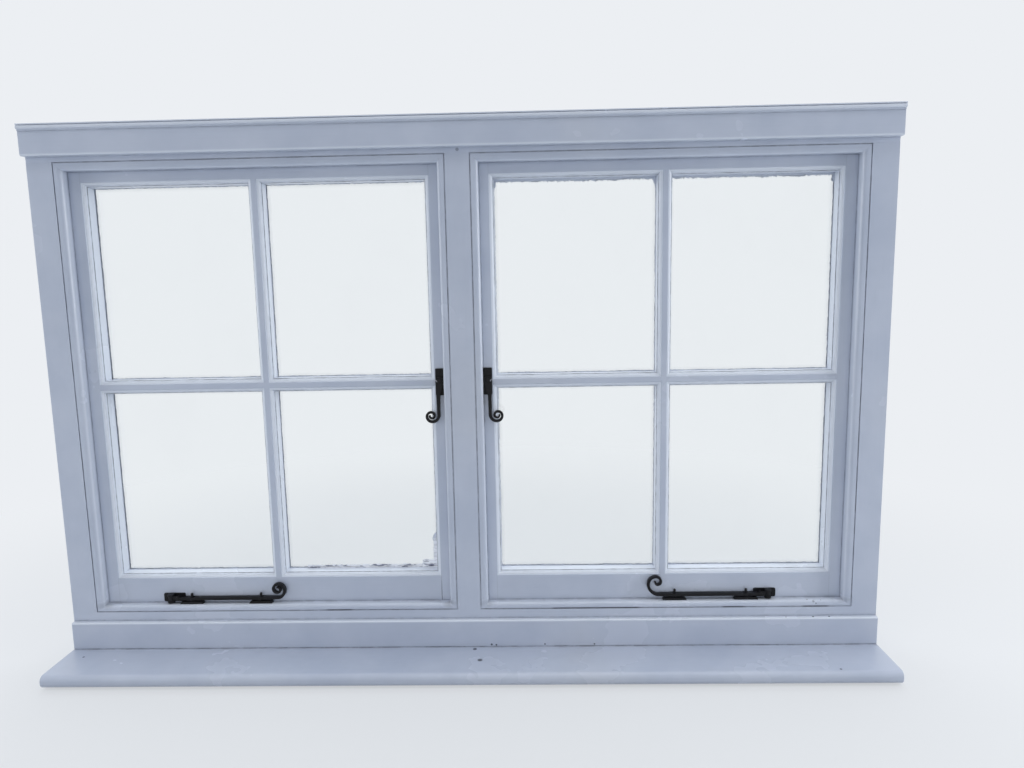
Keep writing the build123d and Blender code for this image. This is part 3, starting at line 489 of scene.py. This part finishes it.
def old_glass():
    """Drawn sheet glass with slight waves, soiled along its edges, and paint cut in over them."""
    f = Finish("old_drawn_glass")
    side = abs(f.x)
    ragged = f.noise(210.0, 3.0, 0.6)
    slow = f.noise(22.0, 2.0, 0.55)
    to_stile = nearest(side, STILE_SIGHTS)
    to_rail = nearest(f.z, RAIL_SIGHTS)
    edge = to_stile.or_less(to_rail)
    right = f.x.rises(-0.01, 0.01)
    top = f.z.rises(RAIL_SIGHTS[3] - 0.02, RAIL_SIGHTS[3] - 0.01)
    foot = nearest(f.z, (RAIL_SIGHTS[0], RAIL_SIGHTS[2])).rises(0.004, 0.002)
    reach = slow * 0.0016 + right * top * (0.0010 + slow * 0.0052) + foot * slow * 0.0012
    loose = spots(f, PAINT_ON_GLASS)
    teeth = 0.0046 + (right * top).or_more(loose) * 0.0085
    cut_in = (reach + loose * 0.0100 - edge + (ragged - 0.5) * teeth).rises(0.0, 0.00035)

    haze = f.noise(6.0, 4.0, 0.65).rises(0.40, 0.80) * 0.012
    soiled = edge.rises(0.012, 0.0) ** 2.0 * (0.02 + slow * 0.16)
    film = (haze + soiled).or_less(0.5)

    waves = f.bump(f.noise(1.0, 0.0, 0.4, f.stretched(9, 1, 4)), 0.0016)
    clear = f.node("ShaderNodeBsdfTransparent", {}, {"Color": GLASS_CLEAR})
    gloss = f.node("ShaderNodeBsdfGlossy", {}, {"Color": GLASS_GLOSS, "Roughness": 0.03, "Normal": waves})
    dust = f.node("ShaderNodeBsdfDiffuse", {}, {"Color": GLASS_DUST})
    facing = f.node("ShaderNodeLayerWeight", {}, {"Blend": 0.5, "Normal": waves}, output="Facing")
    grazing = 0.04 + facing ** 5.0 * 0.90
    sheet = f.mixed(film, f.mixed(grazing, clear, gloss), dust)
    daub = f.body(Base_Color=AGED_LIGHT, Roughness=0.4, Normal=f.bump(ragged, 0.0003))
    return f.done(f.mixed(cut_in, sheet, daub))


def painted_putty():
    """Linseed putty under weathered paint, split across and chalky."""
    f = Finish("painted_putty")
    drift = f.node("ShaderNodeTexNoise", {}, {"Vector": f.place, "Scale": 90.0}, output="Color")
    wander = f.node("ShaderNodeVectorMath", {"operation": "MULTIPLY_ADD"},
                    {0: drift, 1: (0.010, 0.010, 0.010), 2: f.place})
    splits = f.cells(48.0, "DISTANCE_TO_EDGE", wander).rises(0.024, 0.006)
    splits = splits * f.noise(14.0, 3.0).rises(0.50, 0.62)
    patches = f.noise(26.0, 5.0, 0.65)
    colour = f.blend(patches.rises(0.35, 0.7), AGED_LIGHT, AGED_GREY)
    colour = f.blend(patches.rises(0.62, 0.70) * 0.7, colour, PUTTY_BARE)
    colour = f.blend(splits * 0.6, colour, CRACK)
    low_edges = nearest(f.z, (RAIL_SIGHTS[0], RAIL_SIGHTS[2])).rises(0.012, 0.0)
    algae = f.noise(12.0, 4.0).rises(0.52, 0.70) * low_edges
    colour = f.blend(algae * 0.6, colour, ALGAE)
    height = patches * 0.5 + f.noise(140.0, 3.0) * 0.5 - splits
    return f.done(f.body(Base_Color=colour, Roughness=0.62 + patches * 0.2, Normal=f.bump(height, 0.0007)))


def loose_film():
    """Old paint skin, creased and whiter than the wood, with painted shade in its creases along the rail,
    little up the stile, and a painted shadow line under its loose lower edge.
    """
    f = Finish("loose_paint_skin")
    # Painted shadow line under the strip's loose lower edge, in the crack colour
    edge = f.z.near(0.1788, 0.0010) * f.noise(30.0, 2.0).rises(0.36, 0.50)
    creases = f.noise(1.0, 3.0, 0.6, f.stretched(40, 60, 190))
    # Painted shade in the creases, mostly left out up the stile
    out_of_crease_shade = creases.rises(0.38, 0.50).or_more(f.z.rises(0.186, 0.194) * 0.75)
    colour = f.blend(out_of_crease_shade, SKIN_CREASE_SHADE, SKIN_LIGHT)
    colour = f.blend(edge * 0.7, colour, CRACK)
    return f.done(f.body(Base_Color=colour, Roughness=0.38, Normal=f.bump(creases, 0.0012)))


def black_iron():
    """Hammered wrought iron under black paint, rubbed where fingers and pegs touch it, with a painted
    glint beside each pivot.
    """
    f = Finish("black_iron")
    hammer = f.cells(150.0, "SMOOTH_F1")
    fine = f.noise(500.0, 3.0)
    rub = f.noise(60.0, 4.0, 0.6)
    colour = f.blend(f.noise(30.0, 3.0).rises(0.4, 0.7), IRON_DARK, IRON_LIGHT)
    colour = f.blend(rub.rises(0.66, 0.74) * 0.4, colour, IRON_RUBBED)
    # Painted glint: a bright streak on the handle beside its pivot
    painted_glint = spots(f, GLINT_STREAK) * rub.rises(0.30, 0.44)
    colour = f.blend(painted_glint * 0.85, colour, IRON_GLINT)
    rough = 0.34 + rub * 0.22 - painted_glint * 0.12
    height = hammer + fine * 0.12
    return f.done(f.body(Base_Color=colour, Roughness=rough, Specular_IOR_Level=0.24,
                         Normal=f.bump(height, 0.0005)))


def hinge_steel():
    """Butt hinges, painted over many times and worn to rust at the knuckles."""
    f = Finish("hinge_steel")
    worn = f.noise(120.0, 5.0, 0.65)
    bare = worn.rises(0.52, 0.60)
    rust = f.noise(60.0, 5.0, 0.7).rises(0.50, 0.66)
    metal = f.blend(rust, BARE_STEEL, RUST)
    colour = f.blend(bare, AGED_WHITE, metal)
    height = worn - bare * 0.6
    return f.done(f.body(Base_Color=colour, Metallic=bare * (1 - rust) * 0.8,
                         Roughness=0.42 + rust * 0.35, Normal=f.bump(height, 0.0003)))


# Placing

def only(piece):
    bpy.ops.object.select_all(action="DESELECT")
    piece.select_set(True)
    bpy.context.view_layer.objects.active = piece


def wear(piece, material):
    piece.data.materials.clear()
    piece.data.materials.append(material)


def body_name(node):
    return next(name for name, nodes in frame["record"]["behaviour"]["bodies"].items() if node in nodes)


def painted_over(node, round_r, material):
    """A copy of a CAD node with its arrises rounded, as paint leaves them."""
    weld = 0.000005
    flat, arris, smooth = math.radians(0.5), math.radians(32), math.radians(40)
    source = frame["nodes"][node]
    piece = source.copy()
    piece.data = source.data.copy()
    piece.name = f"{node}_painted"
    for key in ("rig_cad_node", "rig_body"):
        if key in piece:
            del piece[key]
    piece.parent = None
    bpy.context.scene.collection.objects.link(piece)
    only(piece)
    bpy.ops.object.mode_set(mode="EDIT")
    bpy.ops.mesh.select_all(action="SELECT")
    bpy.ops.mesh.remove_doubles(threshold=weld)
    bpy.ops.mesh.dissolve_limited(angle_limit=flat)
    bpy.ops.object.mode_set(mode="OBJECT")
    ease = piece.modifiers.new("rounded_arrises", "BEVEL")
    ease.width = round_r
    ease.segments = 2
    ease.limit_method = "ANGLE"
    ease.angle_limit = arris
    ease.use_clamp_overlap = True
    bpy.ops.object.modifier_apply(modifier=ease.name)
    bpy.ops.object.shade_smooth_by_angle(angle=smooth)
    flats = piece.modifiers.new("true_flats", "WEIGHTED_NORMAL")
    flats.mode = "FACE_AREA"
    flats.keep_sharp = True
    bpy.ops.object.modifier_apply(modifier=flats.name)
    wear(piece, material)
    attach(piece, body_name(node))
    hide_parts(node)


def slotted_screw(length):
    """A countersunk screw at the origin, head up, with its slot along Y."""
    head_r, shank_r, head_d, point = 0.0030, 0.0016, 0.0014, 0.0025
    rim_w, rim_d, dish_w, dish_d = 0.0005, 0.00022, 0.0010, 0.00012
    slot_size, slot_middle = (0.0008, 0.009, 0.0022), (0, 0, 0.0003)
    bpy.ops.object.select_all(action="DESELECT")
    bpy.ops.mesh.primitive_cone_add(vertices=24, radius1=shank_r, radius2=head_r, depth=head_d,
                                    location=(0, 0, -head_d / 2))
    screw = bpy.context.object
    bpy.ops.object.transform_apply(location=True, rotation=True, scale=True)
    bpy.ops.object.mode_set(mode="EDIT")
    pick_faces(screw, lambda face: face.normal.z < -0.9)
    bpy.ops.mesh.extrude_region_move(TRANSFORM_OT_translate={"value": (0, 0, head_d + point - length)})
    bpy.ops.mesh.extrude_region_move(TRANSFORM_OT_translate={"value": (0, 0, -point)})
    bpy.ops.transform.resize(value=(0.08, 0.08, 1.0))
    pick_faces(screw, lambda face: face.normal.z > 0.9)
    bpy.ops.mesh.inset(thickness=rim_w, depth=rim_d)
    bpy.ops.mesh.inset(thickness=dish_w, depth=dish_d)
    bpy.ops.object.mode_set(mode="OBJECT")
    bpy.ops.mesh.primitive_cube_add(size=1.0, location=slot_middle, scale=slot_size)
    cutter = bpy.context.object
    slot_cut = screw.modifiers.new("slot", "BOOLEAN")
    slot_cut.object = cutter
    slot_cut.operation = "DIFFERENCE"
    only(screw)
    bpy.ops.object.modifier_apply(modifier=slot_cut.name)
    bpy.data.objects.remove(cutter)
    bpy.ops.object.shade_smooth_by_angle(angle=math.radians(35))
    return screw


def pick_faces(piece, wanted):
    """Selects the faces that are wanted, in edit mode."""
    bpy.ops.mesh.select_mode(type="FACE")
    bpy.ops.mesh.select_all(action="DESELECT")
    bpy.ops.object.mode_set(mode="OBJECT")
    for face in piece.data.polygons:
        face.select = wanted(face)
    bpy.ops.object.mode_set(mode="EDIT")


def screw_set(name, master, places, material, node, body):
    """Copies of one screw driven in at (head, into) places, each turned its own way, as one piece."""
    first_turn, next_turn = 37, 67
    copies = []
    for count, (head, into) in enumerate(places):
        copy = master.copy()
        copy.data = master.data.copy()
        bpy.context.scene.collection.objects.link(copy)
        turn = Matrix.Rotation(math.radians(first_turn + next_turn * count), 4, "Z")
        stand = (-Vector(into)).to_track_quat("Z", "Y").to_matrix().to_4x4()
        copy.data.transform(Matrix.Translation(head) @ stand @ turn)
        copies.append(copy)
    bpy.ops.object.select_all(action="DESELECT")
    for copy in copies:
        copy.select_set(True)
    bpy.context.view_layer.objects.active = copies[0]
    bpy.ops.object.join()
    joined = bpy.context.object
    joined.name = name
    wear(joined, material)
    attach(joined, body)
    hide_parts(node)


def screws(iron, steel):
    """Slotted screws in the hinge leaves, pin plates, keeps, brackets and backplates."""
    long_one, short_one = slotted_screw(LONG_SCREW), slotted_screw(SHORT_SCREW)
    rows = [(depth, foot + rise) for foot in HINGE_FEET for depth, rise in LEAF_SCREWS]
    for side in SIDES:
        t = TURNED[side]
        leaf_frame = [((t * FRAME_LEAF, y, z), (t, 0, 0)) for y, z in rows]
        leaf_casement = [((t * CASEMENT_LEAF, y, z), (-t, 0, 0)) for y, z in rows]
        swivel = SWIVELS[side]
        plates = [((t * (swivel - peg + step), *PEG_PLATE_AT), (0, 0, -1))
                  for peg in PEGS_FROM_SWIVEL for step in PEG_PLATE_SCREWS]
        keeps = [((t * KEEP_AT[0], KEEP_AT[1], z), (-t, 0, 0)) for z in KEEP_SCREWS]
        irons = [((t * (swivel + step), *BRACKET_AT), (0, 1, 0)) for step in BRACKET_SCREWS]
        irons += [((t * BACKPLATE_AT[0], BACKPLATE_AT[1], z), (0, 1, 0)) for z in BACKPLATE_SCREWS]
        screw_set(f"{side}_frame_leaf_screws", long_one, leaf_frame, steel,
                  "frame_screws", "frame")
        screw_set(f"{side}_pin_plate_screws", long_one, plates, iron,
                  "frame_screws", "frame")
        screw_set(f"{side}_keep_screws", short_one, keeps, iron,
                  "frame_screws", "frame")
        screw_set(f"{side}_casement_leaf_screws", long_one, leaf_casement, steel,
                  f"{side}_casement_screws", f"{side}_casement")
        screw_set(f"{side}_iron_screws", long_one, irons, iron,
                  f"{side}_casement_screws", f"{side}_casement")
    for master in (long_one, short_one):
        bpy.data.objects.remove(master)


def lifted_paint(name, low, high, wrinkle, count, film):
    """A strip of old paint and sealant that has come loose from the glass in wrinkles.

    low and high are its (x, z) corners on the glass. Its count varies the raggedness of its edges."""
    wide, tall = high[0] - low[0], high[1] - low[1]
    across = max(int(wide / STRIP_CELL), 4)
    up = max(int(tall / STRIP_CELL), 4)
    bpy.ops.object.select_all(action="DESELECT")
    bpy.ops.mesh.primitive_grid_add(x_subdivisions=across, y_subdivisions=up, size=1.0,
                                    rotation=(math.radians(90), 0, 0))
    strip = bpy.context.object
    strip.name = name
    strip.scale = (wide, tall, 1.0)
    strip.location = ((low[0] + high[0]) / 2, STRIP_DEPTH, (low[1] + high[1]) / 2)
    bpy.ops.object.transform_apply(location=True, rotation=True, scale=True)
    creases = bpy.data.textures.new(f"{name}_creases", "CLOUDS")
    creases.noise_scale = 0.0075
    creases.noise_depth = 3
    ragged = bpy.data.textures.new(f"{name}_edges", "CLOUDS")
    ragged.noise_scale = 0.010 + count * 0.001
    pushes = ((creases, "Y", wrinkle), (ragged, "Z", 0.0060), (ragged, "X", 0.0030))
    for texture, direction, strength in pushes:
        push = strip.modifiers.new(direction, "DISPLACE")
        push.texture = texture
        push.direction = direction
        push.texture_coords = "GLOBAL"
        push.strength = strength
        push.mid_level = 0.5
        bpy.ops.object.modifier_apply(modifier=push.name)
    skin = strip.modifiers.new("skin", "SOLIDIFY")
    skin.thickness = STRIP_THICK
    bpy.ops.object.modifier_apply(modifier=skin.name)
    bpy.ops.object.shade_smooth_by_angle(angle=math.radians(60))
    wear(strip, film)
    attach(strip, "left_casement")


def studio_floor():
    """Pale round floor that fades into the pale surroundings."""
    bpy.ops.mesh.primitive_circle_add(vertices=96, radius=14.0, fill_type="NGON")
    floor = bpy.context.object
    floor.name = "studio_floor"
    f = Finish("pale_floor")
    away = (f.x * f.x + f.y * f.y) ** 0.5
    far = (0.6 + away.rises(0.7, 2.0) * 0.4) * f.seen()
    matt = f.node("ShaderNodeBsdfDiffuse", {}, {"Color": FLOOR})
    haze = f.node("ShaderNodeEmission", {}, {"Color": STUDIO, "Strength": 1.0})
    floor.data.materials.append(f.done(f.mixed(far, matt, haze)))


def lamp(name, place, aim, size, power, colour=WHITE_LIGHT, spread=180, shines=True):
    """An area lamp. One that doesn't shine lights the paint without a reflection in its gloss."""
    data = bpy.data.lights.new(name, "AREA")
    data.shape = "RECTANGLE"
    data.size, data.size_y = size
    data.energy = power
    data.color = colour
    data.spread = math.radians(spread)
    made = bpy.data.objects.new(name, data)
    made.location = place
    made.visible_glossy = shines
    made.rotation_euler = (Vector(aim) - Vector(place)).to_track_quat("-Z", "Y").to_euler()
    bpy.context.scene.collection.objects.link(made)


def lights():
    """Soft light all round, stronger from the sky's side, as a window has it."""
    lamp("room_soft", (-1.2, -3.0, 1.3), (0, 0, 0.45), (2.6, 2.0), 11, WARM_LIGHT, shines=False)
    lamp("low_soft", (0.1, -1.9, 0.35), (0, 0, 0.03), (2.4, 0.4), 1.2, spread=55, shines=False)
    lamp("left_strip", (-2.5, -0.55, 1.0), (0, 0.03, 0.5), (0.5, 1.3), 15)
    lamp("right_strip", (2.5, -0.55, 1.0), (0, 0.03, 0.5), (0.5, 1.3), 24)
    lamp("top_strip", (0.2, -0.75, 2.7), (0, 0, 0.2), (2.8, 0.5), 16)
    world = bpy.context.scene.world or bpy.data.worlds.new("studio")
    bpy.context.scene.world = world
    w = Nodes(world, "Generated")
    outside = w.y.rises(-0.05, 0.55) * w.z.rises(-0.25, 0.45)
    level = 0.30 + outside * 1.9
    even = w.node("ShaderNodeBackground", {}, {"Color": SKY, "Strength": level})
    shown = w.node("ShaderNodeBackground", {}, {"Color": STUDIO, "Strength": 1.0})
    w.ends_in("ShaderNodeOutputWorld", w.mixed(w.seen(), even, shown))


def camera():
    """Where the photographer stood, turned and tilted as they held the camera."""
    level = Vector((math.sin(YAW), math.cos(YAW), 0))
    aside = Vector((math.cos(YAW), -math.sin(YAW), 0))
    ahead = level * math.cos(PITCH) - Vector((0, 0, math.sin(PITCH)))
    above = Vector((0, 0, math.cos(PITCH))) + level * math.sin(PITCH)
    right = aside * math.cos(ROLL) + above * math.sin(ROLL)
    up = above * math.cos(ROLL) - aside * math.sin(ROLL)
    data = bpy.data.cameras.new("camera")
    data.sensor_width = SENSOR_MM
    data.lens = SENSOR_MM * FOCAL_PIXELS / PICTURE_PIXELS
    made = bpy.data.objects.new("camera", data)
    made.matrix_world = Matrix((
        (right.x, up.x, -ahead.x, EYE[0]),
        (right.y, up.y, -ahead.y, EYE[1]),
        (right.z, up.z, -ahead.z, EYE[2]),
        (0, 0, 0, 1)))
    bpy.context.scene.collection.objects.link(made)
    bpy.context.scene.camera = made


# The window

bpy.context.scene.view_settings.view_transform = "Standard"
uprights = gloss_paint("gloss_paint_uprights", "z", frame_grime_and_shade, frame_highlights, frame_cracks)
levels = gloss_paint("gloss_paint_levels", "x", frame_grime_and_shade, frame_highlights, frame_cracks)
linings = gloss_paint("gloss_paint_linings", "x", lining_grime_and_shade, lining_highlights, lining_cracks)
casement_uprights = gloss_paint("gloss_paint_casement_uprights", "z", casement_shade,
                                casement_highlights, joint_cracks)
casement_levels = gloss_paint("gloss_paint_casement_levels", "x", casement_shade,
                              casement_highlights, joint_cracks)
glass = old_glass()
putty = painted_putty()
film = loose_film()
iron = black_iron()
steel = hinge_steel()

for node in FRAME_WOOD:
    painted_over(node, FRAME_EASE, uprights if node in UPRIGHT_WOOD else levels)
for node in LININGS:
    painted_over(node, LINING_EASE, linings)
for side in SIDES:
    for part in CASEMENT_WOOD:
        painted_over(f"{side}_{part}", CASEMENT_EASE,
                     casement_uprights if part in UPRIGHT_WOOD else casement_levels)
    for part in PANES:
        wear(frame["nodes"][f"{side}_{part}"], glass)
    wear(frame["nodes"][f"{side}_putty"], putty)
    for part in STEEL:
        wear(frame["nodes"][f"{side}_{part}"], steel)
    for part in SOFT_IRON:
        painted_over(f"{side}_{part}", SOFT_IRON_EASE, iron)
    for part in CRISP_IRON:
        painted_over(f"{side}_{part}", CRISP_IRON_EASE, iron)
    for part in BARE_IRON:
        wear(frame["nodes"][f"{side}_{part}"], iron)
screws(iron, steel)
for count, (name, low, high, wrinkle) in enumerate(LOOSE_STRIPS, start=1):
    lifted_paint(name, low, high, wrinkle, count, film)

studio_floor()
lights()
camera()
